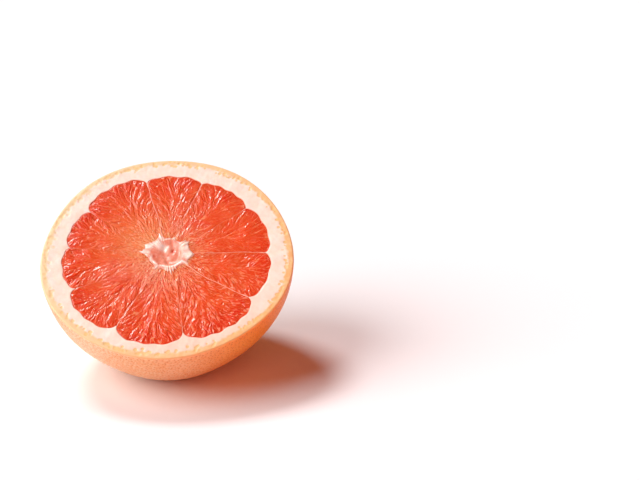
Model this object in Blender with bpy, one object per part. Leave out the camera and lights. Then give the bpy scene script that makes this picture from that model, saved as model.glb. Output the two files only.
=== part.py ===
"""Half a red grapefruit, cut across the middle, resting tilted on a small flat spot of its rind.

Metres, +Z up. The origin is on the floor, under the middle of the fruit's box.
The half is first made with its cut face level and its centre at the origin, then tilted forward,
trimmed where it rests, and set down.
"""

import math

import bmesh
import bpy
from mathutils import Matrix, Vector

# The whole half: the rim of the cut, the depth of the rind below it, and how it rests.
RIM_RADIUS = 0.0548
RIND_DEPTH = 0.0528
TILT = math.radians(28.9)
FLAT_SPOT_SAG = 0.0022

# The rim isn't a true circle: (waves round the rim, height, where the first crest is).
RIM_WAVES = (
    (2, 0.00033, math.radians(160)),
    (3, 0.00030, math.radians(-61)),
    (5, 0.00038, math.radians(-87)),
)

# The rind swells and sinks a little: (waves round it, half waves from rim to pole, height, first crest).
RIND_WAVES = (
    (4, 2, 0.00022, 0.7),
    (7, 4, 0.00016, 2.1),
    (9, 6, 0.00012, 4.0),
)

# Each segment of pulp: the angle of the membrane that it starts at, in degrees, and its lobe's radius.
SEGMENTS = (
    (0, 0.0450),
    (37, 0.0446),
    (70, 0.0450),
    (104, 0.0467),
    (145, 0.0449),
    (174, 0.0453),
    (205, 0.0473),
    (242, 0.0478),
    (280, 0.0477),
    (325, 0.0452),
)
NOTCH_RADIUS = 0.0418
LOBE_SQUARENESS = 3.4

# The cut face's layers, and how far each stands above or below the knife's plane.
FLAVEDO_THICKNESS = 0.0030
RIM_ROUNDING = 0.0005
PULP_TIP_RADIUS = 0.0098
MEMBRANE_RISE = 0.0002
PULP_EDGE_DROP = 0.0006
PULP_CROWN = 0.0002

# Juice sacs show as long ridges, side by side across a segment and end to end along it.
SAC_LANE = 0.24
SAC_LENGTH = 0.011
SAC_HEIGHT = 0.0008

# The open core: (radius, height) from its rim of white pith down to the middle of its floor.
CORE_PROFILE = ((0.0086, 0.0003), (0.0077, -0.0018), (0.0058, -0.0031), (0.0028, -0.0034))
CORE_FLOOR = -0.0037
CORE_WAVE = 0.0005

# The blossom end: a shallow dent with a small worn knob in it.
SCAR_DENT = 0.0011
SCAR_DENT_RADIUS = 0.0060
SCAR_KNOB = 0.0007
SCAR_KNOB_RADIUS = 0.0018

# Places of the mesh's columns across a segment, from -1 at one membrane to 1 at the next,
# and of its rings: along the pulp, across the pith, and down the rind, which has every second column.
COLUMNS = (-1, -0.95) + tuple(SAC_LANE / 2 * i for i in range(-7, 8)) + (0.95,)
PULP_RINGS = 15
PULP_EDGE_RINGS = (0.965, 1.0)
PITH_RINGS = (0.08, 0.5)
RIND_RINGS = 12
POLE_RINGS = (0.012, 0.008, 0.0052, 0.0032, 0.0014)

RIND_COLOUR = (0.86, 0.42, 0.13, 1.0)


def smooth_step(t):
    t = min(1.0, max(0.0, t))
    return t * t * (3 - 2 * t)


def rim_wave(angle):
    return sum(height * math.cos(count * angle - crest) for count, height, crest in RIM_WAVES)


def rind_wave(angle, down):
    """Zero at the rim and at the blossom end."""
    waves = (
        height * math.cos(count * angle - crest) * math.sin(halves * down)
        for count, halves, height, crest in RIND_WAVES
    )
    return sum(waves) * math.cos(down) ** 2


def columns():
    """(angle, place across its segment from -1 to 1, segment number) of each mesh column, in turn."""
    found = []
    for number, (start, _) in enumerate(SEGMENTS):
        end = SEGMENTS[(number + 1) % len(SEGMENTS)][0]
        width = (end - start) % 360
        for across in COLUMNS:
            angle = math.radians(start + width * (across + 1) / 2)
            found.append((angle, across, number))
    return found


def lobe_radius(across, number):
    """Where the pulp ends: a rounded lobe for each segment, with a notch at each membrane."""
    bulge = (1 - abs(across) ** LOBE_SQUARENESS) ** (1 / 2)
    return NOTCH_RADIUS + (SEGMENTS[number][1] - NOTCH_RADIUS) * bulge


def sac_relief(radius, across):
    """Swellings in lanes, each lane a quarter of a sac further out than the one nearer the middle."""
    lane = abs(round(across / SAC_LANE))
    ridge = 0.5 + 0.5 * math.cos(2 * math.pi * across / SAC_LANE)
    along = 0.6 + 0.4 * math.cos(2 * math.pi * (radius / SAC_LENGTH - lane / 4))
    return SAC_HEIGHT * radius / RIM_RADIUS * ridge * along


def pulp_height(radius, across, number):
    """A segment's cut face: low at its membranes and at the pith, crowned between, ridged with sacs."""
    if abs(across) == 1:
        return MEMBRANE_RISE
    edge = lobe_radius(across, number)
    from_side = smooth_step((1 - abs(across)) / 0.3)
    from_pith = smooth_step((edge - radius) / 0.0035)
    from_tip = smooth_step((radius - PULP_TIP_RADIUS) / 0.006)
    inside = from_side * from_pith * from_tip
    return -PULP_EDGE_DROP + inside * (PULP_EDGE_DROP + PULP_CROWN + sac_relief(radius, across))


def rind_point(angle, down):
    """A point of the rind, at an angle down from the rim (0) to the blossom end (90 degrees)."""
    fade = math.cos(down) ** 1.5
    swell = 1 + rind_wave(angle, down) / RIM_RADIUS
    radius = (RIM_RADIUS + rim_wave(angle) * fade) * math.cos(down) * swell
    dent = SCAR_DENT * math.exp(-((radius / SCAR_DENT_RADIUS) ** 2))
    knob = SCAR_KNOB * math.exp(-((radius / SCAR_KNOB_RADIUS) ** 2))
    height = -RIND_DEPTH * math.sin(down) * swell + dent - knob
    return polar(angle, radius, height)


def polar(angle, radius, height):
    return Vector((radius * math.cos(angle), radius * math.sin(angle), height))


def core_rings(cols):
    """Rings from the middle of the open core out to the tips of the segments."""
    rings = []
    for radius, height in reversed(CORE_PROFILE):
        sway = CORE_WAVE * radius / CORE_PROFILE[0][0]
        rings.append([polar(a, radius + sway * math.cos(math.pi * x), height) for a, x, _ in cols])
    return rings


def pulp_rings(cols):
    rings = []
    shares = [i / PULP_RINGS * PULP_EDGE_RINGS[0] for i in range(PULP_RINGS)] + list(PULP_EDGE_RINGS)
    for share in shares:
        ring = []
        for angle, across, number in cols:
            edge = lobe_radius(across, number)
            radius = PULP_TIP_RADIUS + (edge - PULP_TIP_RADIUS) * share
            ring.append(polar(angle, radius, pulp_height(radius, across, number)))
        rings.append(ring)
    return rings


def pith_rings(cols):
    """The white pith and the cut edge of the coloured rind, level with the knife's plane."""
    rings = []
    for share in PITH_RINGS:
        ring = []
        for angle, across, number in cols:
            inner = lobe_radius(across, number)
            outer = RIM_RADIUS + rim_wave(angle) - FLAVEDO_THICKNESS
            ring.append(polar(angle, inner + (outer - inner) * share, 0))
        rings.append(ring)
    for inset in (FLAVEDO_THICKNESS, RIM_ROUNDING):
        rings.append([polar(a, RIM_RADIUS + rim_wave(a) - inset, 0) for a, _, _ in cols])
    return rings


def rind_rings(cols):
    first = RIM_ROUNDING / RIND_DEPTH
    last = math.acos(POLE_RINGS[0] / RIM_RADIUS)
    angles = [first + (last - first) * i / RIND_RINGS for i in range(RIND_RINGS)]
    angles += [math.acos(radius / RIM_RADIUS) for radius in POLE_RINGS]
    rings = [[rind_point(a, angles[0]) for a, _, _ in cols]]
    rings += [[rind_point(a, down) for a, _, _ in cols[::2]] for down in angles[1:]]
    return rings


def join(bm, inner, outer):
    """A strip of faces between two rings. The outer one may have half as many points."""
    halved = len(outer) < len(inner)
    for i in range(len(outer)):
        near, far = outer[i], outer[(i + 1) % len(outer)]
        if halved:
            first, middle, last = inner[2 * i], inner[2 * i + 1], inner[(2 * i + 2) % len(inner)]
            bm.faces.new((first, near, middle))
            bm.faces.new((middle, near, far))
            bm.faces.new((middle, far, last))
        else:
            bm.faces.new((inner[i], near, far, inner[(i + 1) % len(inner)]))


def close(bm, ring, centre):
    """A fan of triangles from a ring to the point in its middle."""
    middle = bm.verts.new(centre)
    for i in range(len(ring)):
        bm.faces.new((middle, ring[i], ring[(i + 1) % len(ring)]))


def skin(bm, rings, first_centre, last_centre):
    """One closed skin through the rings, from the middle of the core to the blossom end."""
    loops = [[bm.verts.new(point) for point in ring] for ring in rings]
    for inner, outer in zip(loops, loops[1:]):
        join(bm, inner, outer)
    close(bm, loops[0], first_centre)
    close(bm, loops[-1], last_centre)


def set_down(bm):
    """Tilts the half towards the front, trims the flat spot that it rests on, and puts that on the floor."""
    bmesh.ops.transform(bm, matrix=Matrix.Rotation(TILT, 4, "X"), verts=bm.verts)
    floor = min(v.co.z for v in bm.verts) + FLAT_SPOT_SAG
    everything = bm.verts[:] + bm.edges[:] + bm.faces[:]
    cut = bmesh.ops.bisect_plane(
        bm, geom=everything, dist=1e-6, plane_co=(0, 0, floor), plane_no=(0, 0, -1), clear_outer=True
    )
    rim = [item for item in cut["geom_cut"] if isinstance(item, bmesh.types.BMEdge)]
    bmesh.ops.edgeloop_fill(bm, edges=rim)
    ys = [v.co.y for v in bm.verts]
    xs = [v.co.x for v in bm.verts]
    middle = Vector(((min(xs) + max(xs)) / 2, (min(ys) + max(ys)) / 2, floor))
    bmesh.ops.translate(bm, vec=-middle, verts=bm.verts)


def rind_material():
    material = bpy.data.materials.new("rind")
    material.use_nodes = True
    shader = material.node_tree.nodes["Principled BSDF"]
    shader.inputs["Base Color"].default_value = RIND_COLOUR
    shader.inputs["Roughness"].default_value = 0.42
    shader.inputs["Metallic"].default_value = 0.0
    return material


def grapefruit_half():
    cols = columns()
    rings = core_rings(cols) + pulp_rings(cols) + pith_rings(cols) + rind_rings(cols)
    bm = bmesh.new()
    pole = rind_point(0, math.pi / 2)
    skin(bm, rings, (0, 0, CORE_FLOOR), pole)
    set_down(bm)
    bmesh.ops.recalc_face_normals(bm, faces=bm.faces)
    mesh = bpy.data.meshes.new("grapefruit_half")
    bm.to_mesh(mesh)
    bm.free()
    mesh.materials.append(rind_material())
    mesh.shade_smooth()
    mesh.set_sharp_from_angle(angle=math.radians(50))
    half = bpy.data.objects.new("grapefruit_half", mesh)
    bpy.context.scene.collection.objects.link(half)
    return half


for leftover in list(bpy.data.objects):
    bpy.data.objects.remove(leftover)
grapefruit_half()
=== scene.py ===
"""Half of a red grapefruit, cut across the middle and resting tilted, on a white studio floor."""

import math

import bpy
import numpy as np
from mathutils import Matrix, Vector
from mathutils.geometry import delaunay_2d_cdt


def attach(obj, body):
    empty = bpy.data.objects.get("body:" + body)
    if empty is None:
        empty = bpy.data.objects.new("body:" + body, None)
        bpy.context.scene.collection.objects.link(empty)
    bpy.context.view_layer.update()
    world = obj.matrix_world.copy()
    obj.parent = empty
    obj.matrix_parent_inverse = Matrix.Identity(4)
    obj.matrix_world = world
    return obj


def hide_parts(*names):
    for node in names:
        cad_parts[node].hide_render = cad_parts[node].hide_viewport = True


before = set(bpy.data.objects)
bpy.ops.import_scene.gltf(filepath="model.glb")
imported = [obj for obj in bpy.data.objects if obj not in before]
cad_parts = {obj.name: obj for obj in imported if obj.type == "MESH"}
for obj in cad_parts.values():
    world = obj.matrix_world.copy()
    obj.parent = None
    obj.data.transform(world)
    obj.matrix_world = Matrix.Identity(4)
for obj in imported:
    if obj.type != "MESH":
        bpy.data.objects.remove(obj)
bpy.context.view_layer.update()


# The studio. A white floor that runs out of sight, a large soft key light on the left, a smaller light
# overhead behind the fruit, a red card low in front, a warm reflector low on the right, and a dim warm
# room all round. The camera stands a little over half a metre away.

# The middle of the cut face, where the camera's aim and all of the fruit's own shapes start from.
CUT_CENTRE = Vector((-0.000147, -0.003143, 0.051079))

CAMERA_DISTANCE = 0.6387
CAMERA_AROUND = 0.0738
CAMERA_UP = math.radians(22)
CAMERA_YAW = 0.0380
CAMERA_PITCH = 0.3767
CAMERA_LENS = 82.5

FLOOR_CORNERS = ((-4, -3, 0), (4, -3, 0), (4, 6, 0), (-4, 6, 0))
FLOOR_DROP = 0.0001
FLOOR_COLOUR = (0.93, 0.965, 0.99)

# A small red card stands close by on the right and warms the shadow under the fruit.
CARD_PLACE = Vector((0.15, -0.13, 0.035))
CARD_AIM = Vector((0.02, -0.02, 0.0))
CARD_SIZE = 0.09
CARD_POWER = 0.04
CARD_COLOUR = (1.0, 0.20, 0.07)

# The other lights are far off: where each comes from, how wide it looks in degrees, its strength and
# its colour. The overhead one is what glints in the wet pulp.
LIGHTS = {
    "key_light": ((-0.82, -0.16, 0.64), 50, 2.85, (1, 0.99, 0.985)),
    "top_light": ((-0.36, 0.42, 0.83), 18, 1.75, (1, 0.99, 0.985)),
    "front_card": ((-0.35, -0.93, 0.14), 60, 0.95, (1, 0.30, 0.26)),
    "warm_reflector": ((0.85, -0.45, 0.25), 110, 0.55, (1.0, 0.27, 0.06)),
}
FILL_COLOUR = (1.0, 0.28, 0.27)
FILL_STRENGTH = 0.085


def add_object(name, data):
    made = bpy.data.objects.new(name, data)
    bpy.context.scene.collection.objects.link(made)
    return made


def new_material(name):
    """A material, its nodes and its shader."""
    made = bpy.data.materials.new(name)
    made.use_nodes = True
    return made, made.node_tree, made.node_tree.nodes["Principled BSDF"]


def set_sockets(node, values):
    for label, value in values.items():
        node.inputs[label].default_value = value


camera = add_object("camera", bpy.data.cameras.new("camera"))
camera.location = CUT_CENTRE + CAMERA_DISTANCE * Vector(
    (
        math.sin(CAMERA_AROUND) * math.cos(CAMERA_UP),
        -math.cos(CAMERA_AROUND) * math.cos(CAMERA_UP),
        math.sin(CAMERA_UP),
    )
)
camera.rotation_euler = (math.pi / 2 - CAMERA_PITCH, 0, -CAMERA_YAW)
camera.data.lens = CAMERA_LENS
camera.data.sensor_width = 36
camera.data.clip_start = 0.01
bpy.context.scene.camera = camera
bpy.context.scene.view_settings.view_transform = "Standard"

world = bpy.data.worlds.new("studio")
world.use_nodes = True
background = world.node_tree.nodes["Background"]
set_sockets(background, {"Color": (*FILL_COLOUR, 1), "Strength": FILL_STRENGTH})
bpy.context.scene.world = world

for name, (place, width, strength, colour) in LIGHTS.items():
    lamp = bpy.data.lights.new(name, "SUN")
    lamp.energy = strength
    lamp.angle = math.radians(width)
    lamp.color = colour
    holder = add_object(name, lamp)
    holder.rotation_euler = (-Vector(place)).to_track_quat("-Z", "Y").to_euler()

card = bpy.data.lights.new("red_card", "AREA")
card.size = CARD_SIZE
card.energy = CARD_POWER
card.color = CARD_COLOUR
holder = add_object("red_card", card)
holder.location = CARD_PLACE
holder.rotation_euler = (CARD_AIM - CARD_PLACE).to_track_quat("-Z", "Y").to_euler()
holder.visible_camera = False

white_floor, _, shader = new_material("white_floor")
set_sockets(shader, {"Base Color": (*FLOOR_COLOUR, 1), "Roughness": 0.9, "Specular IOR Level": 0.1})

floor_mesh = bpy.data.meshes.new("floor")
floor_mesh.from_pydata(FLOOR_CORNERS, [], [(0, 1, 2, 3)])
floor_mesh.materials.append(white_floor)
floor = add_object("floor", floor_mesh)
floor.location.z = -FLOOR_DROP


# The peel. A thick-skinned rind, coloured outside and full of oil glands that show as pores, over soft
# white pith. It grew as one skin round the pulp, and the knife left its edge as a flat ring.
# Everything of the fruit is made in millimetres with the cut face level, then tilted into place.
TILT = math.radians(28.9)
RIM_RADIUS = 54.8
RIND_DEPTH = 52.8
SCAR_DENT, SCAR_DENT_RADIUS = 1.1, 6.0
SCAR_KNOB, SCAR_KNOB_RADIUS = 0.7, 1.8
FLAT_EDGE = 0.0001

# The rim isn't a true circle: (waves round it, their height, where the first crest is). The rind
# swells and sinks a little: (waves round it, half waves from rim to blossom end, height, first crest).
RIM_WAVES = ((2, 0.33, math.radians(160)), (3, 0.30, math.radians(-61)), (5, 0.38, math.radians(-87)))
RIND_WAVES = ((4, 2, 0.22, 0.7), (7, 4, 0.16, 2.1), (9, 6, 0.12, 4.0))

# Each segment: the angle of the membrane that it starts at, its lobe's radius, and the small bulges
# along that lobe (how many, how high, where they start).
SEGMENTS = (
    (0.0, 44.9, 3, 0.25, 0.3),
    (36.9, 44.5, 4, 0.30, 1.7),
    (70.6, 44.9, 3, 0.30, 4.2),
    (104.4, 46.7, 4, 0.35, 2.0),
    (145.0, 44.9, 3, 0.25, 0.8),
    (174.3, 45.3, 3, 0.30, 3.3),
    (205.3, 47.3, 4, 0.25, 5.2),
    (242.4, 47.9, 4, 0.30, 0.5),
    (280.4, 47.8, 5, 0.35, 2.9),
    (325.4, 45.2, 3, 0.25, 1.1),
)
NOTCH_RADIUS = 41.8
LOBE_SQUARENESS = 3.4

random = np.random.default_rng(11)


def placed(points):
    """Fruit millimetres, cut face level, to metres in the frame: tilted, and pressed flat below."""
    cos, sin = math.cos(TILT), math.sin(TILT)
    x, y, z = np.asarray(points, float).T
    there = np.stack((x, y * cos - z * sin, y * sin + z * cos), 1) * 0.001 + np.array(CUT_CENTRE)
    there[:, 2] = (there[:, 2] + np.hypot(there[:, 2], FLAT_EDGE)) / 2
    return there


def polar(angle, radius, height):
    return np.stack(np.broadcast_arrays(radius * np.cos(angle), radius * np.sin(angle), height), -1)


def smooth_step(low, high, value):
    t = np.clip((value - low) / (high - low), 0, 1)
    return t * t * (3 - 2 * t)


def bell(away, width):
    """A smooth hump: 1 where away is 0, and a third of that at the given width."""
    return np.exp(-((away / width) ** 2))


def lumps(x, y, scale, seed):
    """Soft random hills between about -1 and 1, with the given spacing."""
    draw = np.random.default_rng(seed)
    total = 0
    for _ in range(7):
        heading, phase = draw.uniform(0, 2 * math.pi, 2)
        pitch = 2 * math.pi / scale * draw.uniform(0.6, 1.5)
        total = total + np.sin(pitch * (x * math.cos(heading) + y * math.sin(heading)) + phase)
    return total / 2.6


def rim_wave(angle):
    return sum(height * np.cos(count * angle - crest) for count, height, crest in RIM_WAVES)


def rind_point(angle, down):
    """A point of the skin, from the rim (down = 0) to the blossom end (a quarter turn)."""
    waves = sum(h * np.cos(n * angle - c) * np.sin(k * down) for n, k, h, c in RIND_WAVES)
    swell = 1 + waves * np.cos(down) ** 2 / RIM_RADIUS
    radius = (RIM_RADIUS + rim_wave(angle) * np.cos(down) ** 1.5) * np.cos(down) * swell
    dent = SCAR_DENT * bell(radius, SCAR_DENT_RADIUS)
    knob = SCAR_KNOB * bell(radius, SCAR_KNOB_RADIUS)
    return polar(angle, radius, -RIND_DEPTH * np.sin(down) * swell + dent - knob)


def outward(points):
    """The skin's outward direction, taken from the smooth egg shape that it follows."""
    slope = points / np.array((RIM_RADIUS, RIM_RADIUS, RIND_DEPTH)) ** 2
    return slope / np.linalg.norm(slope, axis=1, keepdims=True)


def segment_at(angle):
    """(segment number, place across it from -1 to 1) at each angle."""
    starts = np.radians([s[0] for s in SEGMENTS] + [360.0])
    angle = np.mod(angle, 2 * math.pi)
    number = np.clip(np.searchsorted(starts, angle, side="right") - 1, 0, len(SEGMENTS) - 1)
    across = 2 * (angle - starts[number]) / (starts[number + 1] - starts[number]) - 1
    return number, np.clip(across, -1, 1)


def lobe_radius(number, across):
    """Where the pulp ends and the pith begins."""
    _, lobe, bulges, height, first = np.array(SEGMENTS)[number].T
    rounded = np.sqrt(1 - np.abs(across) ** LOBE_SQUARENESS)
    small = height * np.cos(bulges * math.pi * across + first) * (1 - across**4)
    return NOTCH_RADIUS + (lobe - NOTCH_RADIUS) * rounded + small


def piece(name, points, faces, materials, **attributes):
    """A smooth closed mesh in the frame, from a list of face arrays, each with its own material.

    Each attribute is one number, or three, for every point."""
    mesh = bpy.data.meshes.new(name)
    corners = np.concatenate([group.ravel() for group in faces])
    sizes = np.concatenate([np.full(len(group), group.shape[1]) for group in faces])
    used = np.concatenate([np.full(len(group), i) for i, group in enumerate(faces)])
    mesh.vertices.add(len(points))
    mesh.vertices.foreach_set("co", placed(points).astype(np.float32).ravel())
    mesh.loops.add(len(corners))
    mesh.loops.foreach_set("vertex_index", corners.astype(np.int32))
    mesh.polygons.add(len(sizes))
    mesh.polygons.foreach_set("loop_start", (np.cumsum(sizes) - sizes).astype(np.int32))
    mesh.polygons.foreach_set("loop_total", sizes.astype(np.int32))
    for material in dict.fromkeys(materials):
        mesh.materials.append(material)
    order = [list(dict.fromkeys(materials)).index(m) for m in materials]
    mesh.polygons.foreach_set("material_index", np.array(order, np.int32)[used])
    for label, values in attributes.items():
        values = np.asarray(values, np.float32)
        single = values.ndim == 1
        layer = mesh.attributes.new(label, "FLOAT" if single else "FLOAT_VECTOR", "POINT")
        layer.data.foreach_set("value" if single else "vector", values.ravel())
    mesh.update(calc_edges=True)
    mesh.validate()
    mesh.shade_smooth()
    return add_object(name, mesh)


# Flecks, which every part of the fruit has: noise of a given fineness, as it is and as a mask that
# rises from 0 to the given share while the noise goes from low to high.
flecks = bpy.data.node_groups.new("flecks", "ShaderNodeTree")
flecks.interface.new_socket("Noise", in_out="OUTPUT", socket_type="NodeSocketFloat")
flecks.interface.new_socket("Mask", in_out="OUTPUT", socket_type="NodeSocketFloat")
flecks.interface.new_socket("Vector", in_out="INPUT", socket_type="NodeSocketVector")
for label in ("Scale", "Detail", "Roughness", "Low", "High", "Share"):
    flecks.interface.new_socket(label, in_out="INPUT", socket_type="NodeSocketFloat")
given = flecks.nodes.new("NodeGroupInput")
result = flecks.nodes.new("NodeGroupOutput")
texture = flecks.nodes.new("ShaderNodeTexNoise")
climb = flecks.nodes.new("ShaderNodeMapRange")
climb.interpolation_type = "SMOOTHSTEP"
for label in ("Vector", "Scale", "Detail", "Roughness"):
    flecks.links.new(given.outputs[label], texture.inputs[label])
flecks.links.new(texture.outputs["Fac"], climb.inputs["Value"])
for label, end in (("Low", "From Min"), ("High", "From Max"), ("Share", "To Max")):
    flecks.links.new(given.outputs[label], climb.inputs[end])
flecks.links.new(texture.outputs["Fac"], result.inputs["Noise"])
flecks.links.new(climb.outputs["Result"], result.inputs["Mask"])


def flecked(tree, scale, detail=2.0, roughness=0.5, vector=None, **ends):
    """Flecks of about 1/scale metres in the fruit's own space, or along another vector."""
    made = tree.nodes.new("ShaderNodeGroup")
    made.node_tree = flecks
    values = {"Scale": scale, "Detail": detail, "Roughness": roughness, "Low": 0, "High": 1, "Share": 1}
    set_sockets(made, values | ends)
    vector = vector or tree.nodes.new("ShaderNodeTexCoord").outputs["Object"]
    tree.links.new(vector, made.inputs["Vector"])
    return made.outputs


def blend_colours(tree, share, first, second):
    """A colour between two, each a colour or an output, by a share from an output."""
    mix = tree.nodes.new("ShaderNodeMix")
    mix.data_type = "RGBA"
    tree.links.new(share, mix.inputs["Factor"])
    for socket, colour in ((mix.inputs[6], first), (mix.inputs[7], second)):
        if isinstance(colour, tuple):
            socket.default_value = (*colour, 1)
        else:
            tree.links.new(colour, socket)
    return mix.outputs[2]


def ramp(tree, value, low, high, start=0.0, end=1.0):
    """Follows value smoothly from start to end as it goes from low to high."""
    scale = tree.nodes.new("ShaderNodeMapRange")
    scale.interpolation_type = "SMOOTHSTEP"
    tree.links.new(value, scale.inputs["Value"])
    set_sockets(scale, {"From Min": low, "From Max": high, "To Min": start, "To Max": end})
    return scale.outputs["Result"]


def stored(tree, name, output="Fac"):
    """What the mesh says at each of its points."""
    made = tree.nodes.new("ShaderNodeAttribute")
    made.attribute_name = name
    return made.outputs[output]


def bump(tree, shader, height, strength, distance):
    made = tree.nodes.new("ShaderNodeBump")
    set_sockets(made, {"Strength": strength, "Distance": distance})
    tree.links.new(height, made.inputs["Height"])
    tree.links.new(made.outputs["Normal"], shader.inputs["Normal"])


def product(tree, first, second):
    made = tree.nodes.new("ShaderNodeMath")
    made.operation = "MULTIPLY"
    tree.links.new(first, made.inputs[0])
    tree.links.new(second, made.inputs[1])
    return made.outputs[0]


# Rind: skin coloured orange in two shades of patches, slightly waxy, darker in each pore and brown at
# the scar. It is painted paler, a painted wash of light, on the side the key light falls on, and keeps
# its deep orange on the shaded side. (first patches, second patches)
DEEP_SKIN = ((0.92, 0.23, 0.012), (0.94, 0.31, 0.030))
LIT_PALE_SKIN = ((0.91, 0.56, 0.30), (0.92, 0.67, 0.43))
MOTTLE_COLOUR = (0.88, 0.25, 0.05)
LIT_PALE_PORE, DEEP_PORE = (0.79, 0.33, 0.12), (0.66, 0.16, 0.03)
SCAR_COLOUR = (0.30, 0.16, 0.06)

rind, tree, shader = new_material("rind")
shade_side = stored(tree, "shade_side")
patches = flecked(tree, 28, 3, Low=0.38, High=0.66)["Mask"]
mottle = flecked(tree, 800, 2, 0.6, Low=0.36, High=0.64)["Mask"]
# Painted light: skin and pores are blended to paler copies on the side the key light falls on.
skin_colour = blend_colours(
    tree,
    ramp(tree, shade_side, 0.55, 1.0),
    blend_colours(tree, patches, *LIT_PALE_SKIN),
    blend_colours(tree, patches, *DEEP_SKIN),
)
skin_colour = blend_colours(tree, ramp(tree, mottle, 0, 1, 0, 0.40), skin_colour, MOTTLE_COLOUR)
pore_colour = blend_colours(tree, ramp(tree, shade_side, 0.3, 1.0), LIT_PALE_PORE, DEEP_PORE)
skin_colour = blend_colours(tree, ramp(tree, stored(tree, "pore"), 0.15, 0.65), skin_colour, pore_colour)
skin_colour = blend_colours(tree, stored(tree, "scar"), skin_colour, SCAR_COLOUR)
tree.links.new(skin_colour, shader.inputs["Base Color"])
tree.links.new(ramp(tree, mottle, 0, 1, 0.34, 0.46), shader.inputs["Roughness"])
set_sockets(
    shader,
    {
        "Specular IOR Level": 0.5,
        "Subsurface Weight": 0.12,
        "Subsurface Radius": (1.0, 0.4, 0.15),
        "Subsurface Scale": 0.0015,
    },
)
bump(tree, shader, flecked(tree, 1900)["Noise"], 0.35, 0.00015)

# Cut edge: the coloured rind's own thickness as a yellow ring, dotted with oil glands where it ends
# unevenly, and moist spongy pith inside it, with a painted warm glow low in front as though light came
# through it, and red with juice beside the pulp. Ring, glands and edge are painted paler on the side
# the key light falls on. (on the lit side, on the shaded side)
RING_COLOURS = ((0.83, 0.70, 0.41), (0.85, 0.50, 0.20))
GLAND_COLOURS = ((0.80, 0.62, 0.25), (0.82, 0.53, 0.20))
EDGE_COLOURS = ((0.90, 0.66, 0.36), (0.88, 0.38, 0.10))
RING_FLECKS = (0.85, 0.65, 0.38)
RING_UNEVENNESS = 2.4
PITH_COLOURS = ((0.905, 0.81, 0.71), (0.90, 0.76, 0.64))
PAINTED_GLOW_COLOUR = (0.90, 0.71, 0.58)
JUICE_STAIN = (0.84, 0.22, 0.10)

pith, tree, shader = new_material("pith")
inset, shade_side, stain = stored(tree, "inset"), stored(tree, "shade_side"), stored(tree, "stain")
uneven = tree.nodes.new("ShaderNodeMath")
uneven.operation = "MULTIPLY_ADD"
tree.links.new(flecked(tree, 300, 2, 0.6)["Noise"], uneven.inputs[0])
uneven.inputs[1].default_value = RING_UNEVENNESS
tree.links.new(inset, uneven.inputs[2])
white = blend_colours(tree, flecked(tree, 350, 3, 0.6, Low=0.35, High=0.7)["Mask"], *PITH_COLOURS)
# Painted light: a warm glow low in front, as though light came through the pith.
white = blend_colours(tree, stored(tree, "painted_glow"), white, PAINTED_GLOW_COLOUR)
dots = flecked(tree, 500, Low=0.35, High=0.65, Share=0.4)["Mask"]
# Painted light: ring, glands and edge are paler, the glands fainter, where the key light falls.
yellow = blend_colours(tree, dots, blend_colours(tree, shade_side, *RING_COLOURS), RING_FLECKS)
cut_colour = blend_colours(tree, ramp(tree, uneven.outputs[0], 3.3, 4.6, 1, 0), white, yellow)
gland = ramp(tree, stored(tree, "scar"), 0.1, 0.8, 0, 0.85)
gland = product(tree, gland, ramp(tree, shade_side, 0.02, 0.30, 0.5, 1))
cut_colour = blend_colours(tree, gland, cut_colour, blend_colours(tree, shade_side, *GLAND_COLOURS))
edge = ramp(tree, inset, 0.0, 0.4, 1, 0)
cut_colour = blend_colours(tree, edge, cut_colour, blend_colours(tree, shade_side, *EDGE_COLOURS))
cut_colour = blend_colours(tree, ramp(tree, stain, 0, 1, 0, 0.8), cut_colour, JUICE_STAIN)
tree.links.new(cut_colour, shader.inputs["Base Color"])
shader.inputs["Roughness"].default_value = 0.5
tree.links.new(ramp(tree, stain, 0, 0.3, 0.3, 0), shader.inputs["Subsurface Weight"])
set_sockets(shader, {"Subsurface Radius": (1.0, 0.55, 0.35), "Subsurface Scale": 0.001})
bump(tree, shader, flecked(tree, 900, 3, 0.6)["Noise"], 0.4, 0.00006)

# Pores are scattered over the skin, large ones first and small ones in what is left, none touching.
# Each is a dimple: a centre point sunk below a ring of six. (least spacing, radius, depth, tries)
LARGE_PORES = (2.1, 0.55, 0.24, 14000)
SMALL_PORES = (1.15, 0.42, 0.17, 52000)
PORE_RING_DEPTH, PORE_RING_DARKNESS = 0.01, 0.3
SMOOTH_SKIN_DARKNESS = 0.1
FIRST_DOWN = 0.014
RIM_COLUMNS = 1080

downs = np.linspace(FIRST_DOWN + 0.016, math.pi / 2 - 0.02, 400)
area_below = np.cumsum(np.cos(downs))
area_below /= area_below[-1]


def scatter(spacing, tries, taken, cells, cell=1.2):
    """Random places on the skin, none nearer than spacing to one already taken."""
    found = []
    angle = random.uniform(0, 2 * math.pi, tries)
    down = np.interp(random.uniform(0, 1, tries), area_below, downs)
    points = rind_point(angle, down)
    reach = int(math.ceil(spacing / cell))
    for a, d, p in zip(angle.tolist(), down.tolist(), points.tolist()):
        key = tuple(int(c // cell) for c in p)
        near = (
            taken[i]
            for x in range(key[0] - reach, key[0] + reach + 1)
            for y in range(key[1] - reach, key[1] + reach + 1)
            for z in range(key[2] - reach, key[2] + reach + 1)
            for i in cells.get((x, y, z), ())
        )
        if all((p[0] - q[0]) ** 2 + (p[1] - q[1]) ** 2 + (p[2] - q[2]) ** 2 > spacing**2 for q in near):
            cells.setdefault(key, []).append(len(taken))
            taken.append(p)
            found.append((a, d))
    return np.array(found)


def add_spots(angle, down, depth, darkness):
    spots.append(np.stack(np.broadcast_arrays(angle, down, depth, darkness), 1))


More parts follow.
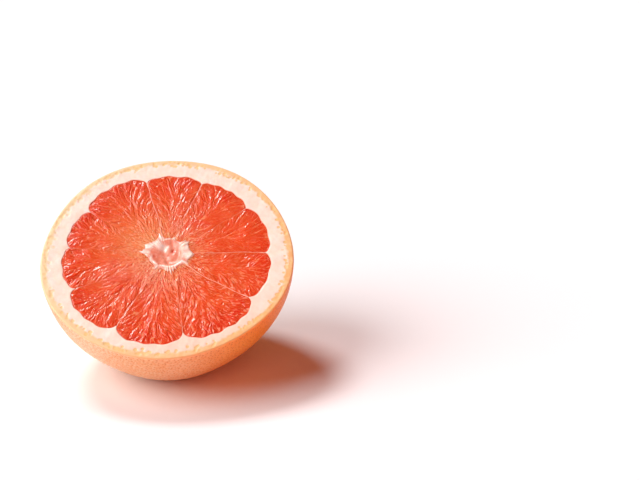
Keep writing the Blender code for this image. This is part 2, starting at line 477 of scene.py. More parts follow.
taken, cells, spots = [], {}, []
for spacing, radius, depth, tries in (LARGE_PORES, SMALL_PORES):
    angle, down = scatter(spacing, tries, taken, cells).T
    radius = radius * random.uniform(0.8, 1.2, len(angle))
    depth = depth * random.uniform(0.6, 1.3, len(angle))
    turn = random.uniform(0, 1, len(angle))
    add_spots(angle, down, depth, 0.8 + 0.2 * depth / LARGE_PORES[2])
    for i in range(6):
        heading = (i + turn) * math.pi / 3
        step = radius * random.uniform(0.85, 1.15, len(angle))
        aside = step * np.cos(heading) / (RIM_RADIUS * np.cos(down))
        lower = down + step * np.sin(heading) / RIM_RADIUS
        add_spots(angle + aside, lower, PORE_RING_DEPTH, PORE_RING_DARKNESS)
columns = np.arange(RIM_COLUMNS) * 2 * math.pi / RIM_COLUMNS
add_spots(columns, FIRST_DOWN, 0, SMOOTH_SKIN_DARKNESS)
add_spots(np.zeros(1), math.pi / 2, 0, 0)
angle, down, sunk, darkness = np.concatenate(spots).T
down = np.clip(down, FIRST_DOWN, math.pi / 2)
skin_count = len(angle)

# The skin's faces, found on a flat map of it with the blossom end in the middle and the rim all round.
rim_loop = np.arange(skin_count - 1 - RIM_COLUMNS, skin_count - 1)
rim_edges = np.stack((rim_loop, np.roll(rim_loop, -1)), 1)
flat_map = np.stack(((math.pi / 2 - down) * np.cos(angle), (math.pi / 2 - down) * np.sin(angle)), 1)
_, _, triangles, _, _, _ = delaunay_2d_cdt(
    [Vector(p) for p in flat_map.tolist()], rim_edges.tolist(), [], 0, 1e-7
)

# The blossom end's brown scar, ragged at its edge.
points = rind_point(angle, down) - sunk[:, None] * outward(rind_point(angle, down))
from_pole = np.hypot(points[:, 0], points[:, 1]) + 0.7 * lumps(points[:, 0], points[:, 1], 3.0, 5)
outside = {label: [] for label in ("points", "pore", "scar", "inset", "stain")}


def add_row(row, pore=0.0, scar=0.0, inset=0.0, stain=0.0):
    """Points of the peel, with how much each is a pore, a scar or gland, how far in it is, its stain."""
    for label, values in (("pore", pore), ("scar", scar), ("inset", inset), ("stain", stain)):
        outside[label].append(np.broadcast_to(values, len(row)))
    outside["points"].append(row)


add_row(points, darkness, 1 - smooth_step(1.5, 3.6, from_pole))


# The cut ring, from the rounded rim of the skin to the pulp: the knife leaves it flat, a little sunk
# where it is spongy, pitted at the oil glands that it opened, and rolled over at its inner edge.
EDGE_ROUNDING = 0.55
CUT_EDGE_ROWS = 3
GLAND_ROWS, GLAND_ROW_STEP = 13, 0.3
PITH_ROWS = 10
PITH_LUMPS = ((0.02, 3.2, 21), (0.05, 6, 22))
GLANDS = 260
GLAND_INSET, GLAND_SPREAD, GLAND_WAVE = 2.7, 0.75, 0.35
GLAND_DEPTH = 0.12
# Painted light: the side away from the key light, where skin and cut ring keep their deep colour.
SHADE_SIDE_ANGLE = math.radians(-20)
# Where the pith's painted warm glow is strongest.
PAINTED_GLOW_SIDE = math.radians(-68)

# Where the pith turns down beside the pulp: (distance out from the pulp, height, stain of juice).
PITH_TURN = ((0.25, -0.03, 0.3), (0.08, -0.07, 0.9), (0, -0.16, 1), (0, -1.2, 1), (0, -3.0, 1))

rim_radius = RIM_RADIUS + rim_wave(columns)
lobes = lobe_radius(*segment_at(columns))
gland_angle = random.uniform(0, 2 * math.pi, GLANDS)
gland_inset = GLAND_INSET + GLAND_SPREAD * random.standard_normal(GLANDS)
gland_inset = gland_inset + GLAND_WAVE * np.cos(5 * gland_angle + 1)
gland_size = random.uniform(0.5, 1.1, GLANDS)
gland_middle = polar(gland_angle, RIM_RADIUS + rim_wave(gland_angle) - gland_inset, 0)


def cut_row(radius, height, stain=0.0):
    """One ring of the cut face's points, with its oil glands and its distance in from the skin."""
    row = polar(columns, radius, height)
    apart = np.linalg.norm(row[:, None, :2] - gland_middle[None, :, :2], axis=2) / gland_size
    gland = (1 - smooth_step(0.5, 1.05, apart)).max(axis=1)
    sponge = sum(high * lumps(row[:, 0], row[:, 1], scale, seed) for high, scale, seed in PITH_LUMPS)
    inset = rim_radius - radius
    row[:, 2] += (sponge - GLAND_DEPTH * gland) * smooth_step(0.5, 1.6, inset)
    add_row(row, SMOOTH_SKIN_DARKNESS, gland, inset, stain)


skin_top = np.hypot(*points[rim_loop, :2].T)
for i in range(1, CUT_EDGE_ROWS + 1):
    turn = math.pi / 2 * i / (CUT_EDGE_ROWS + 1)
    cut_row(skin_top - EDGE_ROUNDING * (1 - math.cos(turn)), points[rim_loop, 2] * (1 - math.sin(turn)))
for i in range(GLAND_ROWS):
    cut_row(skin_top - EDGE_ROUNDING - i * GLAND_ROW_STEP, 0)
glands_end = skin_top - EDGE_ROUNDING - (GLAND_ROWS - 1) * GLAND_ROW_STEP
out, height, stain = PITH_TURN[0]
for i in range(1, PITH_ROWS + 1):
    share = 1 - (1 - i / PITH_ROWS) ** 1.15
    last = i == PITH_ROWS
    cut_row(glands_end + (lobes + out - glands_end) * share, height * last, stain * last)
for out, height, stain in PITH_TURN[1:]:
    cut_row(lobes + out, height, stain)
cut_rows = CUT_EDGE_ROWS + GLAND_ROWS + PITH_ROWS + len(PITH_TURN) - 1


def strip(near, far):
    """Faces between two closed loops of point numbers. The second may have half as many points."""
    following = np.roll(far, -1)
    if len(far) == len(near):
        return np.stack((near, np.roll(near, -1), following, far), 1)
    first, middle, last = near[0::2], near[1::2], np.roll(near, -2)[0::2]
    corners = ((first, middle, far), (middle, following, far), (middle, last, following))
    return np.concatenate([np.stack(corner, 1) for corner in corners])


def fan(loop, middle):
    """Triangles between a closed loop of point numbers and one point."""
    return np.stack((loop, np.roll(loop, -1), np.full(len(loop), middle)), 1)


# The room for the pulp, unseen once the fruit is together: its half width, its depth, and its rows.
ROOM_RADIUS, ROOM_DEPTH = 45.8, 42.6
ROOM_DOWNS = np.radians((8, 16, 27, 40, 54, 68, 81))
ROOM_INSET = 8.0

skin_faces = [np.array(triangles)[:, ::-1]]
cut_faces, room_faces = [], []
loop = rim_loop
for i in range(cut_rows):
    following = np.arange(RIM_COLUMNS) + skin_count + i * RIM_COLUMNS
    cut_faces.append(strip(loop, following))
    loop = following
room = columns
for down in ROOM_DOWNS:
    if len(room) > 140:
        room = room[::2]
    row = polar(room, ROOM_RADIUS * math.cos(down), -ROOM_DEPTH * math.sin(down))
    add_row(row, inset=ROOM_INSET, stain=1.0)
    following = np.arange(len(room)) + loop[-1] + 1
    room_faces.append(strip(loop, following))
    loop = following
add_row(np.array([(0, 0, -ROOM_DEPTH)]))
room_faces.append(fan(loop, loop[-1] + 1))

outside = {label: np.concatenate(values) for label, values in outside.items()}
points = outside.pop("points")
around = np.arctan2(points[:, 1], points[:, 0])
# Painted light: 1 away from the key light, 0 where it falls and colours are painted paler.
outside["shade_side"] = 0.5 + 0.5 * np.cos(around - SHADE_SIDE_ANGLE)
# Painted glow on the pith, strongest low in front.
outside["painted_glow"] = smooth_step(0.70, 1.0, np.cos(around - PAINTED_GLOW_SIDE))
faces = skin_faces + cut_faces + room_faces

# The skin and the first strip of its rounded edge are rind, and the rest is pith.
materials = [rind] * 2 + [pith] * (len(faces) - 2)
peel = piece("peel", points, faces, materials, **outside)
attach(peel, "root")
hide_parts("grapefruit_half")


# The pulp. Ten segments, each a wedge packed with juice sacs that run outwards and away from the
# segment's middle. The knife opens some sacs, whose pale walls are left standing, and the rest bulge.
# Each segment lies in the room inside the peel, a hair from its membranes.
PULP_STEP = 0.20
PULP_GAP = 0.05
WALL_GAP = 0.02
TIP_RADIUS = 8.4
TIPS = (8.9, 7.8, 8.6, 8.8, 8.0, 7.9, 7.9, 8.0, 8.1, 8.4)
OUTER_ROLL = 0.16
TIP_ROLL = 0.3
PULP_DROP = -0.12
PULP_LUMPS = 0.10
SEGMENT_DOWNS = np.radians((6, 14, 25, 38, 52, 66, 78))
ROOM_GAP = 1.0

# The sacs, each pair near the core and then at the pith, in mm or degrees or as a share of them.
SIDE_ROLL = (0.04, 0.14)
SAC_WIDTH = (0.85, 2.20)
SAC_LENGTH = (6.5, 9.0)
SAC_SPLAY = (6, 36)
SACS_OPENED = (0.62, 0.16)
SAC_BULGE = (0.14, 0.17)
SAC_SUNK = (0.12, 0.15)
SAC_LIFT = (0.04, 0.10)
SACS_TRIED = 4500
SAC_APART = 0.80
SAC_RELIEF_SHARE = (0.6, 1.0)
BEAD_HEIGHT = 0.21
SLIT_HEIGHT = 0.05
GRAIN_PITCH = (0.40, 3.0, 7.3)
RAY_PITCH = (0.11, 14, 1)
FARTHEST_OUT = 46

# Sides of the cut face that look different: (middle in degrees, spread in degrees, strength).
PALE_SIDE = (142, 45, 0.68)
CALM_SIDE = (30, 50, 0.55)
# The lively side has more slits, pale pink as painted wet reflections.
LIVELY_SIDE = (305, 42, 0.75)
TORN_SIDE = (200, 60, 0.9)

# How far each membrane strays from a straight line, in mm: (its bend, its waver, the waver's start).
STRAYS = (
    (0.5, 0.25, 0.4),
    (-0.4, 0.30, 2.2),
    (0.6, 0.25, 4.0),
    (-0.3, 0.35, 1.1),
    (0.7, 0.25, 5.2),
    (-0.5, 0.30, 3.0),
    (0.5, 0.30, 0.9),
    (-0.6, 0.35, 2.7),
    (0.8, 0.25, 4.6),
    (-1.2, 0.35, 1.8),
)


def membrane_angle(number, radius):
    bend, waver, start = STRAYS[number % len(SEGMENTS)]
    out = np.clip((radius - TIP_RADIUS) / (NOTCH_RADIUS - TIP_RADIUS), 0, 1)
    aside = (bend + waver * np.sin(3 * math.pi * out + start)) * np.sin(math.pi * out)
    turn = 2 * math.pi * (number // len(SEGMENTS))
    return math.radians(SEGMENTS[number % len(SEGMENTS)][0]) + turn + aside / np.maximum(radius, 4)


def between(pair, share):
    return pair[0] + (pair[1] - pair[0]) * share


def way_out(radius):
    """0 near the core and 1 near the pith."""
    return np.clip((radius - 12) / 30, 0, 1)


def sac_size(radius):
    """(width, length) of the sacs at a distance from the core."""
    out = np.clip((radius - 11) / 32, 0, 1)
    return between(SAC_WIDTH, out), between(SAC_LENGTH, np.sin(math.pi * np.minimum(out * 0.75, 0.75)))


def sac_heading(angle, radius, across):
    splay = between(SAC_SPLAY, smooth_step(10, 34, radius))
    return angle + np.radians(splay) * np.sin(across * math.pi / 2)


def sac_places(number, draw):
    """Scattered middles of a segment's sacs, with the heading and size of each."""
    found = np.zeros((0, 5))
    for _ in range(SACS_TRIED):
        radius = math.sqrt(draw.uniform(8.0**2, 49.0**2))
        across = draw.uniform(-1.03, 1.03)
        low, high = membrane_angle(number, radius), membrane_angle(number + 1, radius)
        angle = (low + high) / 2 + across * (high - low) / 2
        width, length = sac_size(radius)
        heading = sac_heading(angle, radius, across) + draw.normal(0, 0.16)
        width, length = width * draw.uniform(0.70, 1.35), length * draw.uniform(0.8, 1.25)
        x, y = radius * math.cos(angle), radius * math.sin(angle)
        dx, dy = found[:, 0] - x, found[:, 1] - y
        along = (dx * math.cos(heading) + dy * math.sin(heading)) / length
        aside = (dy * math.cos(heading) - dx * math.sin(heading)) / width
        if not (np.hypot(along, aside) < SAC_APART).any():
            found = np.vstack((found, (x, y, heading, length, width)))
    return found


def sac_relief(number, x, y, radius):
    """Height of the sacs at each point, and what the material is told about them."""
    draw = np.random.default_rng(100 + number)
    sites = sac_places(number, draw)
    count = len(sites)
    out = way_out(np.hypot(sites[:, 0], sites[:, 1]))
    opened = draw.uniform(0, 1, count) < between(SACS_OPENED, out)
    bulge = between(SAC_BULGE, out) * draw.uniform(0.6, 1.35, count)
    sunk = between(SAC_SUNK, out) * draw.uniform(0.5, 1.3, count)
    lift = draw.normal(0, 1, count) * between(SAC_LIFT, out)
    tilts = draw.normal(0, 0.03, (count, 2))
    tint = draw.uniform(0, 1, count)

    # The nearest sac to each point, and how far the point is from that sac's wall.
    warp_x = x + 0.20 * lumps(x, y, 7, 300 + number) + 0.06 * lumps(x, y, 1.8, 320 + number)
    warp_y = y + 0.20 * lumps(x, y, 7, 340 + number) + 0.06 * lumps(x, y, 1.8, 360 + number)
    dx, dy = warp_x[:, None] - sites[:, 0], warp_y[:, None] - sites[:, 1]
    cos, sin = np.cos(sites[:, 2]), np.sin(sites[:, 2])
    along, aside = dx * cos + dy * sin, dy * cos - dx * sin
    far = np.hypot(along / sites[:, 3], aside / sites[:, 4])
    rows = np.arange(len(x))
    nearest = far.argmin(axis=1)
    first = far[rows, nearest].copy()
    far[rows, nearest] = np.inf
    second = far.argmin(axis=1)
    gap = far[rows, second] - first

    apart = sites[second, :2] - sites[nearest, :2]
    apart = apart / np.linalg.norm(apart, axis=1, keepdims=True)
    n_along = (apart[:, 0] * cos[nearest] + apart[:, 1] * sin[nearest]) / sites[nearest, 3]
    n_aside = (apart[:, 1] * cos[nearest] - apart[:, 0] * sin[nearest]) / sites[nearest, 4]
    wall = gap / (2 * np.hypot(n_along, n_aside))

    # An opened sac is sunk inside its wall. The others bulge, some higher than their neighbours.
    along, aside = along[rows, nearest], aside[rows, nearest]
    half = sites[nearest, 4] * 0.46
    dome = 1 - (1 - np.clip(wall / half, 0, 1)) ** 2
    inside = smooth_step(0, 0.45, wall)
    level = lift[nearest] + tilts[nearest, 0] * along + tilts[nearest, 1] * aside
    height = np.where(
        opened[nearest],
        -sunk[nearest] * smooth_step(0.08, 0.6, wall),
        bulge[nearest] * dome + level * inside,
    )
    beads_and_glints = lumps(along / 1.9 + 3.7 * nearest, aside / 0.85 + 1.9 * nearest, 1, 380)
    beads_and_glints = smooth_step(0.35, 1.5, beads_and_glints) * smooth_step(0, 0.3, wall)
    height = height + BEAD_HEIGHT * beads_and_glints * np.where(opened[nearest], 1.0, 0.6)
    slits_and_glints = lumps(along / 6.0 + 5.1 * nearest, aside / 1.7 + 2.3 * nearest, 1, 390)
    slits_and_glints = smooth_step(0.70, 0.95, slits_and_glints) * smooth_step(0.03, 0.2, wall)
    height = height + SLIT_HEIGHT * slits_and_glints
    grain = np.stack((along, aside, nearest), 1) * GRAIN_PITCH
    wall = np.minimum(wall, 2)
    return height, {"wall": wall, "tint": tint[nearest], "beads_and_glints": beads_and_glints, "slits_and_glints": slits_and_glints, "grain": grain}


def pulp_segment(number):
    """One closed wedge: its cut face in fine rows, then its sides, narrowing down to the blossom end."""
    # The cut face's grid, from the tip by the core to the outer lobe.
    start, end = SEGMENTS[number][0], (SEGMENTS + ((360.0,),))[number + 1][0]
    first = TIPS[number]
    wide = 2 * round(math.radians(end - start) * 44 / PULP_STEP / 2)
    deep = 2 * round((45 - first) / PULP_STEP / 2)
    across = np.linspace(-1, 1, wide + 1)[None, :]
    share = np.linspace(0, 1, deep + 1)[:, None]
    edge = lobe_radius(np.full(wide + 1, number), across[0])[None, :] - WALL_GAP
    radius = first + (edge - first) * share
    low = membrane_angle(number, radius) + PULP_GAP / radius
    high = membrane_angle(number + 1, radius) - PULP_GAP / radius
    angle = (low + high) / 2 + across * (high - low) / 2
    from_side = (1 - np.abs(across)) * (high - low) / 2 * radius
    from_wall = (edge - radius) + 0 * across
    from_tip = radius - first + 0 * across
    shape = radius.shape
    x, y = (radius * np.cos(angle)).ravel(), (radius * np.sin(angle)).ravel()
    relief, told = sac_relief(number, x, y, radius.ravel())

    # Its relief, fading towards its edges, which roll over.
    side = between(SIDE_ROLL, way_out(radius))
    round_side = side * (1 - np.sqrt(1 - (1 - np.clip(from_side / side, 0, 1)) ** 2))
    round_wall = OUTER_ROLL * (1 - np.sqrt(1 - (1 - np.clip(from_wall / OUTER_ROLL, 0, 1)) ** 2))
    round_tip = TIP_ROLL * (1 - smooth_step(0, 0.8, from_tip))
    calm = smooth_step(0, 0.8, from_side) * smooth_step(0, 0.6, from_wall) * smooth_step(0, 4, from_tip)
    height = PULP_DROP + PULP_LUMPS * lumps(x, y, 11, 400 + number).reshape(shape) * calm
    rough = np.clip(0.78 + 0.42 * lumps(x, y, 13, 420 + number).reshape(shape), *SAC_RELIEF_SHARE)
    degrees = np.degrees(angle)
    calmer = 1 - CALM_SIDE[2] * bell((degrees - CALM_SIDE[0] + 180) % 360 - 180, CALM_SIDE[1])
    height = height + relief.reshape(shape) * (0.25 + 0.75 * calm) * rough * calmer
    height = height - np.maximum(round_side, round_wall) - round_tip
    top = np.stack((x, y, height.ravel()), 1)

    # Its sides, from the edge of the cut face down to the blossom end.
    grid = np.arange(top.shape[0]).reshape(shape)
    quads = np.stack((grid[:-1, :-1], grid[1:, :-1], grid[1:, 1:], grid[:-1, 1:]), -1).reshape(-1, 4)
    loop = np.concatenate((grid[0, :-1], grid[:-1, -1], grid[-1, :0:-1], grid[:0:-1, 0]))
    loop_angle, loop_share = angle.ravel()[loop], np.broadcast_to(share, shape).ravel()[loop]
    below = len(top)
    following = np.arange(len(loop)) + below
    points = [top, polar(loop_angle, radius.ravel()[loop], np.minimum(height.ravel()[loop] - 0.7, -1.6))]
    sides = [strip(loop[::-1], following[::-1])]
    for down in SEGMENT_DOWNS:
        loop, below = following, below + len(following)
        if len(loop) > 60 and len(loop) % 2 == 0:
            loop_angle, loop_share = loop_angle[::2], loop_share[::2]
            following = np.arange(len(loop) // 2) + below
            sides.append(strip(loop, following)[:, ::-1])
        else:
            following = np.arange(len(loop)) + below
            sides.append(strip(loop[::-1], following[::-1]))
        tip = first * (0.35 + 0.65 * math.cos(down)) * 0.5
        reach = tip + (ROOM_RADIUS - ROOM_GAP - tip) * math.cos(down)
        row = polar(loop_angle, tip + (reach - tip) * (0.12 + 0.88 * loop_share), 0)
        row[:, 2] = -(ROOM_DEPTH - ROOM_GAP) * math.sin(down)
        points.append(row)
    points.append(points[-1].mean(axis=0, keepdims=True))
    sides.append(fan(following[::-1], below + len(following)))
    points = np.concatenate(points)

    # What its material is told: how far out a point is, how torn and pale, how lively (where more slits
    # are painted with wet reflections), and so on.
    lively = LIVELY_SIDE[2] * bell(degrees - LIVELY_SIDE[0], LIVELY_SIDE[1]) * smooth_step(9, 15, radius)
    paler = PALE_SIDE[2] * (bell(degrees - PALE_SIDE[0], PALE_SIDE[1]) * smooth_step(38, 16, radius))
    torn = smooth_step(21, 12, radius) * bell(degrees - TORN_SIDE[0], TORN_SIDE[1])
    torn = TORN_SIDE[2] * (torn * smooth_step(0.1, 0.8, lumps(x, y, 1.7, 440 + number).reshape(shape)))
    told["reach"] = (radius / FARTHEST_OUT).ravel()
    told["beads_and_glints"] = told["beads_and_glints"] * (0.5 + 0.5 * calmer).ravel()
    told["slits_and_glints"] = np.maximum(told["slits_and_glints"] * (1 - LIVELY_SIDE[2] + lively).ravel(), torn.ravel())
    told["pale"] = np.clip(paler + 0.08 * smooth_step(20, 9, radius) + torn, 0, 1).ravel()
    told["ray"] = np.stack((radius, angle, 0 * angle), -1).reshape(-1, 3) * RAY_PITCH
    told["side"] = np.minimum(from_side, from_wall).ravel()
    for label, values in told.items():
        below_cut = np.broadcast_to(values.mean(axis=0), (len(points) - len(top),) + values.shape[1:])
        told[label] = np.concatenate((values, below_cut))
    made = piece(f"segment_{number + 1}", points, [quads] + sides, [pulp] * (1 + len(sides)), **told)
    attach(made, "root")
    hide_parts("grapefruit_half")


# Pulp: wet red flesh that lets light in, deepest in the outer lobes and paler towards the core, with
# thin pale walls between the sacs and fine streaks along each sac, under a film of juice. Pale beads
# and slits on it are partly pale flesh and partly painted wet glints.
INNER_FLESH = (0.69, 0.056, 0.006)
MIDDLE_FLESH = (0.74, 0.067, 0.008)
OUTER_FLESH = (0.66, 0.018, 0.003)
CLOUD_COLOUR = (0.76, 0.118, 0.022)
TINT_COLOUR = (0.65, 0.028, 0.004)
PATCH_COLOUR = (0.73, 0.042, 0.004)
PALE_FLESH = (0.79, 0.23, 0.065)
STREAK_COLOUR = (0.86, 0.23, 0.07)
RAY_COLOUR = (0.95, 0.60, 0.34)
# Beads: pale cream bits near the core, and farther out pink strokes that are painted glints.
BEAD_AND_GLINT_COLOUR = (0.95, 0.50, 0.27)
# Slits: pale torn flesh, and elsewhere pale pink lozenges that are painted wet reflections.
SLIT_AND_GLINT_COLOUR = (0.95, 0.40, 0.26)
WALL_COLOUR = (0.94, 0.40, 0.20)

pulp, tree, shader = new_material("pulp")
reach = stored(tree, "reach")
streaks = flecked(tree, 1.8, 2, 0.6, stored(tree, "grain", "Vector"), Low=0.38, High=0.68)["Mask"]
clouds = flecked(tree, 90, Low=0.35, High=0.65)["Mask"]
patches = flecked(tree, 45, Low=0.42, High=0.60)["Mask"]
rays = flecked(tree, 3.4, 3, 0.6, stored(tree, "ray", "Vector"), Low=0.53, High=0.61)["Mask"]
beads_and_glints = ramp(tree, stored(tree, "beads_and_glints"), 0.3, 0.9)
wall = ramp(tree, stored(tree, "wall"), 0.02, 0.17, 0.70, 0)
broken = ramp(tree, flecked(tree, 300, Low=0.40, High=0.62)["Mask"], 0, 1, 0.35, 1)
flesh = blend_colours(tree, ramp(tree, reach, 0.72, 0.97), MIDDLE_FLESH, OUTER_FLESH)
flesh = blend_colours(tree, ramp(tree, reach, 0.20, 0.60), INNER_FLESH, flesh)
# Among these, beads and slits are partly real pale flesh and partly painted wet glints.
for share, colour in (
    (ramp(tree, clouds, 0, 1, 0, 0.35), CLOUD_COLOUR),
    (ramp(tree, stored(tree, "tint"), 0, 1, 0, 0.4), TINT_COLOUR),
    (ramp(tree, patches, 0, 1, 0, 0.35), PATCH_COLOUR),
    (stored(tree, "pale"), PALE_FLESH),
    (ramp(tree, streaks, 0, 1, 0, 0.42), STREAK_COLOUR),
    (product(tree, rays, ramp(tree, reach, 0.20, 0.55, 1.0, 0)), RAY_COLOUR),
    (product(tree, beads_and_glints, ramp(tree, reach, 0.20, 0.80, 0.65, 0.18)), BEAD_AND_GLINT_COLOUR),
    (ramp(tree, stored(tree, "slits_and_glints"), 0.1, 0.9, 0, 0.65), SLIT_AND_GLINT_COLOUR),
    (product(tree, wall, broken), WALL_COLOUR),
):
    flesh = blend_colours(tree, share, flesh, colour)
tree.links.new(flesh, shader.inputs["Base Color"])
set_sockets(shader, {"Roughness": 0.35, "IOR": 1.36, "Specular IOR Level": 0.15})
tree.links.new(ramp(tree, stored(tree, "side"), 0.2, 1.8, 0.1, 0.9), shader.inputs["Subsurface Weight"])
set_sockets(
    shader,
    {
        "Subsurface Radius": (1.0, 0.28, 0.12),
        "Subsurface Scale": 0.0035,
        "Coat Weight": 0.8,
        "Coat Roughness": 0.06,
        "Coat IOR": 1.45,
    },
)
bump(tree, shader, streaks, 0.15, 0.0001)

for number in range(len(SEGMENTS)):
    pulp_segment(number)


# The membranes. Thin pale sheets that part the segments, grown from the core to the pith. The knife
# leaves their edges a little proud of the flesh.
MEMBRANE_THICKNESS = 0.36
MEMBRANE_DEPTH = 7.0
MEMBRANE_ENDS = (7.6, NOTCH_RADIUS + 0.5)
MEMBRANE_STATIONS = 120

# Across a membrane, from one foot over its edge to the other: (share of its half thickness, height).
MEMBRANE_PROFILE = (
    (-1, -MEMBRANE_DEPTH),
    (-1, -0.30),
    (-0.6, -0.10),
    (0, 0.0),
    (0.6, -0.10),
    (1, -0.30),
    (1, -MEMBRANE_DEPTH),
)

# How pale each one is where it crosses the pulp, and how high the reddest and the palest stand.
PALENESS = (1.0, 0.35, 0.45, 0.95, 0.10, 0.15, 0.15, 0.50, 0.45, 1.0)
MEMBRANE_HEIGHT = (-0.16, 0.06)
MEMBRANE_WHITENESS = 0.55
SHEET_COLOURS = ((0.82, 0.15, 0.04), (0.80, 0.10, 0.025))
SHEET_WHITE = (0.97, 0.80, 0.66)

membrane, tree, shader = new_material("membrane")
film = flecked(tree, 600, Low=0.3, High=0.7)["Mask"]
sheet = blend_colours(tree, film, *SHEET_COLOURS)
sheet = blend_colours(tree, stored(tree, "white"), sheet, SHEET_WHITE)
tree.links.new(sheet, shader.inputs["Base Color"])
set_sockets(shader, {"Roughness": 0.35, "IOR": 1.4, "Coat Weight": 0.2, "Coat Roughness": 0.1})
bump(tree, shader, film, 0.3, 0.0001)

sheet_points, sheet_white, sheet_faces = [], [], []
below = 0
for number, paleness in enumerate(PALENESS):
    starts = np.random.default_rng(500 + number).uniform(0, 6, 4)
    radius = np.linspace(*MEMBRANE_ENDS, MEMBRANE_STATIONS)
    to_notch = NOTCH_RADIUS - radius
    thick = 1 + 1.6 * smooth_step(4.5, 0, radius - 8) + 0.8 * smooth_step(2.5, 0, to_notch)
    thick = MEMBRANE_THICKNESS * thick
    rise = between(MEMBRANE_HEIGHT, paleness)
    rise = rise + 0.05 * np.sin(radius * 0.9 + starts[0]) + 0.03 * np.sin(radius * 2.7 + starts[1])
    waver = 0.75 + 0.25 * np.sin(radius * 0.8 + starts[2]) * np.sin(radius * 1.9 + starts[3])
    ends = np.maximum(smooth_step(16, 9, radius), 0.8 * smooth_step(4.5, 0.3, to_notch))
    white = np.maximum(ends, MEMBRANE_WHITENESS * paleness) * waver
    middle = polar(membrane_angle(number, radius), radius, rise)
    straight = math.radians(SEGMENTS[number][0])
    sideways = np.array((-math.sin(straight), math.cos(straight), 0))
    for aside, height in MEMBRANE_PROFILE:
        row = middle + (aside * thick / 2)[:, None] * sideways
        row[:, 2] += height
        sheet_points.append(row)
        sheet_white.append(white)
    count = len(MEMBRANE_PROFILE)
    grid = below + np.arange(count * MEMBRANE_STATIONS).reshape(count, MEMBRANE_STATIONS)
    over = np.roll(grid, -1, axis=0)
    quads = np.stack((grid[:, :-1], grid[:, 1:], over[:, 1:], over[:, :-1]), -1).reshape(-1, 4)
    sheet_faces += [quads, grid[:, 0][None, :], grid[::-1, -1][None, :]]
    below += count * MEMBRANE_STATIONS
sheet_points, sheet_white = np.concatenate(sheet_points), np.concatenate(sheet_white)
materials = [membrane] * len(sheet_faces)
membranes = piece("membranes", sheet_points, sheet_faces, materials, white=sheet_white)
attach(membranes, "root")
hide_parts("grapefruit_half")


# The core. A column of pith down the middle of the fruit, torn open where the knife crosses it: a
# moist pinkish hollow inside a ragged white rim, with fibres that reach out along the membranes.
CORE_COLUMNS = 720
CORE_SHARES = np.concatenate((np.linspace(0.03, 0.9, 34), np.linspace(0.92, 1, 5)))
TIPS_COVERED = 0.2
HOLLOW_MIDDLE = (0.0, 0.6)
HOLLOW_RADIUS = (7.0, 7.5)
HOLLOW_DEPTH, HOLLOW_LUMPS = 0.8, 0.18
HOLE_DEPTH = 0.22
TORN_HEIGHT, TORN_LUMPS = 0.10, 0.10
PATCH_HEIGHT = 0.26
ARM_HEIGHT = 0.22

# Below the cut: (share of its outline, height), then (radius, height) down its side, and its end.
CORE_SHOULDER = (0.99, -1.1)
CORE_SIDE = ((7.6, -3.5), (7.6, -10), (7.0, -18), (6.2, -26), (5.2, -33), (3.6, -38), (1.8, -40.5))
CORE_BOTTOM = -41

# Fibres and torn flaps that reach out over the pulp: (angle in degrees, length, half width, whiteness).
ARMS = (
    (-3, 3.0, 2.2, 1.0),
    (36, 2.8, 1.0, 0.9),
    (44, 2.2, 0.7, 0.8),
    (73, 1.6, 0.8, 0.8),
    (109, 3.4, 0.9, 0.9),
    (152, 3.2, 2.4, 0.65),
    (173, 3.6, 1.5, 0.7),
    (238, 2.2, 0.8, 0.6),
    (267, 1.2, 0.45, 0.8),
    (273, 1.9, 0.40, 0.8),
    (280, 3.2, 0.45, 0.7),
    (287, 2.2, 0.40, 0.8),
    (295, 1.4, 0.40, 0.6),
    (327, 2.2, 1.0, 0.7),
)

# Where the core is whitest, and where red shows through: (x, y, half width, half height, strength).
WHITE_PATCHES = (
    (9.0, -1.2, 2.0, 2.2, 1.1),
    (7.6, 4.2, 2.2, 2.6, 0.85),
    (-4.2, 6.0, 1.3, 1.9, 0.9),
    (-8.2, 3.8, 1.9, 1.0, 0.9),
    (-9.3, -0.3, 1.3, 0.5, 0.6),
    (-2.2, 4.0, 2.4, 1.9, 0.8),
    (-7.2, 5.4, 1.5, 1.0, 0.6),
    (-6.9, -2.2, 0.8, 2.2, 0.5),
    (-8.0, -4.6, 0.8, 0.6, 0.4),
)
RED_PATCHES = (
    (2.3, 2.0, 0.9, 1.1, 1.0),
    (2.2, 4.6, 0.6, 1.4, 0.2),
    (-5.7, -1.3, 1.0, 1.8, 0.6),
    (-3.7, -5.6, 0.6, 0.8, 0.7),
    (6.6, -3.0, 0.35, 0.9, 0.45),
    (1.5, -3.4, 2.6, 1.6, 0.15),
)


def patches_at(x, y, places):
    return sum(s * bell(x - px, w) * bell(y - py, h) for px, py, w, h, s in places)


# Its outline: just over the tips of the segments, out along each arm, and ragged.
core_angle = np.arange(CORE_COLUMNS) * 2 * math.pi / CORE_COLUMNS
number, across = segment_at(core_angle)
neighbour = (number + np.sign(across).astype(int)) % len(TIPS)
tips = np.array(TIPS)[number], np.array(TIPS)[neighbour]
core_edge = between(tips, 0.5 * smooth_step(0.6, 1, np.abs(across))) + TIPS_COVERED
arm_white = 0 * core_edge
for angle, length, width, whiteness in ARMS:
    turn = (core_angle - math.radians(angle) + math.pi) % (2 * math.pi) - math.pi
    arm = np.exp(-np.abs(turn) * 9.0 / width)
    core_edge += length * arm
    arm_white = np.maximum(arm_white, whiteness * arm)
core_edge += 0.15 * np.sin(17 * core_angle + 1) * np.sin(5 * core_angle) + 0.10 * np.sin(31 * core_angle)
core_points, core_white, core_hole = [], [], []


def add_core_row(row, white, hole):
    core_points.append(row)
    core_white.append(np.broadcast_to(white, len(row)))
    core_hole.append(np.broadcast_to(hole, len(row)))


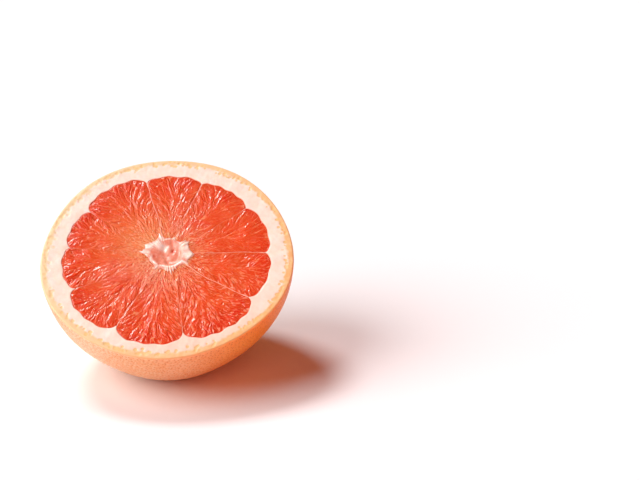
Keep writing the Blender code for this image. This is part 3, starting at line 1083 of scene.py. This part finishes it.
fibres = 0.05 * np.sin(41 * core_angle + 2.2 * np.sin(3 * core_angle))
fibres = fibres + 0.04 * np.sin(67 * core_angle + 1.3)
for share in CORE_SHARES:
    radius = core_edge * share
    x, y = radius * np.cos(core_angle), radius * np.sin(core_angle)

    # The bowl is 1 along the hollow's rim. Its wall is steep on the right and gentle on the left.
    bowl = np.hypot((x - HOLLOW_MIDDLE[0]) / HOLLOW_RADIUS[0], (y - HOLLOW_MIDDLE[1]) / HOLLOW_RADIUS[1])
    bowl = bowl * (1 + 0.04 * np.sin(3 * core_angle + 0.8) + 0.02 * np.sin(7 * core_angle + 2))
    gentle = smooth_step(1.5, -4, x)
    wall = smooth_step(0.62 - 0.45 * gentle, 1.02 + 0.15 * gentle, bowl)
    bottom = -HOLLOW_DEPTH + HOLLOW_LUMPS * lumps(x, y, 5, 61)
    top = TORN_HEIGHT + TORN_LUMPS * lumps(x, y, 4, 63) + fibres * smooth_step(4, 8, radius)
    hole = np.clip(patches_at(x, y, RED_PATCHES), 0, 1)
    pale = patches_at(x, y, WHITE_PATCHES)
    height = bottom + (top - bottom) * wall - HOLE_DEPTH * hole * (1 - wall)
    height += PATCH_HEIGHT * wall * np.clip(pale, 0, 1) * (1 - 0.7 * smooth_step(7, 9, radius))
    height += ARM_HEIGHT * arm_white * smooth_step(0.9, 1.15, bowl)
    height = height - 0.30 * smooth_step(0.93, 1, share) - 0.10 * smooth_step(0.8, 1, share)

    # White where it is torn: in patches, along the hollow's rim in front and at the back, on the arms.
    front_line = 0.9 * bell(bowl - 1.04, 0.06) * smooth_step(-2.0, -5.0, y)
    back_line = 0.6 * bell(bowl - 1.02, 0.05) * smooth_step(-4.5, -2.5, x) * smooth_step(0, 4, y)
    arms_here = arm_white * smooth_step(0.95, 1.1, bowl)
    white = np.maximum.reduce((pale, front_line, back_line, arms_here))
    add_core_row(np.stack((x, y, height), 1), np.clip(white, 0, 1), hole)
for radius, height in ((core_edge * CORE_SHOULDER[0], CORE_SHOULDER[1]), *CORE_SIDE):
    add_core_row(polar(core_angle, radius, height), 0.5, 0)
loops = np.arange(len(core_points) * CORE_COLUMNS).reshape(-1, CORE_COLUMNS)
for height in (-HOLLOW_DEPTH, CORE_BOTTOM):
    add_core_row(np.array([(0, 0, height)]), 0, 0)
core_faces = [strip(far, near) for near, far in zip(loops, loops[1:])]
core_faces += [fan(loops[0], loops.size), fan(loops[-1], loops.size + 1)[:, (1, 0, 2)]]

MOIST_COLOURS = ((0.82, 0.26, 0.16), (0.88, 0.38, 0.27))
TORN_COLOURS = ((0.97, 0.90, 0.84), (0.95, 0.76, 0.63))
HOLE_COLOUR = (0.62, 0.06, 0.015)

core_pith, tree, shader = new_material("core_pith")
whiteness = stored(tree, "white")
specks = flecked(tree, 700, 3, 0.6, Low=0.35, High=0.65)["Mask"]
moist = blend_colours(tree, specks, *MOIST_COLOURS)
torn = blend_colours(tree, specks, *TORN_COLOURS)
shade = blend_colours(tree, ramp(tree, whiteness, 0.0, 0.8), moist, torn)
shade = blend_colours(tree, ramp(tree, stored(tree, "hole"), 0.1, 0.9), shade, HOLE_COLOUR)
tree.links.new(shade, shader.inputs["Base Color"])
tree.links.new(ramp(tree, whiteness, 0, 1, 0.3, 0.5), shader.inputs["Roughness"])
set_sockets(
    shader,
    {
        "Subsurface Weight": 0.25,
        "Subsurface Radius": (1.0, 0.5, 0.35),
        "Subsurface Scale": 0.001,
        "Coat Weight": 0.3,
        "Coat Roughness": 0.15,
    },
)
bump(tree, shader, specks, 0.4, 0.0002)

core_points, core_white, core_hole = map(np.concatenate, (core_points, core_white, core_hole))
materials = [core_pith] * len(core_faces)
core = piece("core", core_points, core_faces, materials, white=core_white, hole=core_hole)
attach(core, "root")
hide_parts("grapefruit_half")
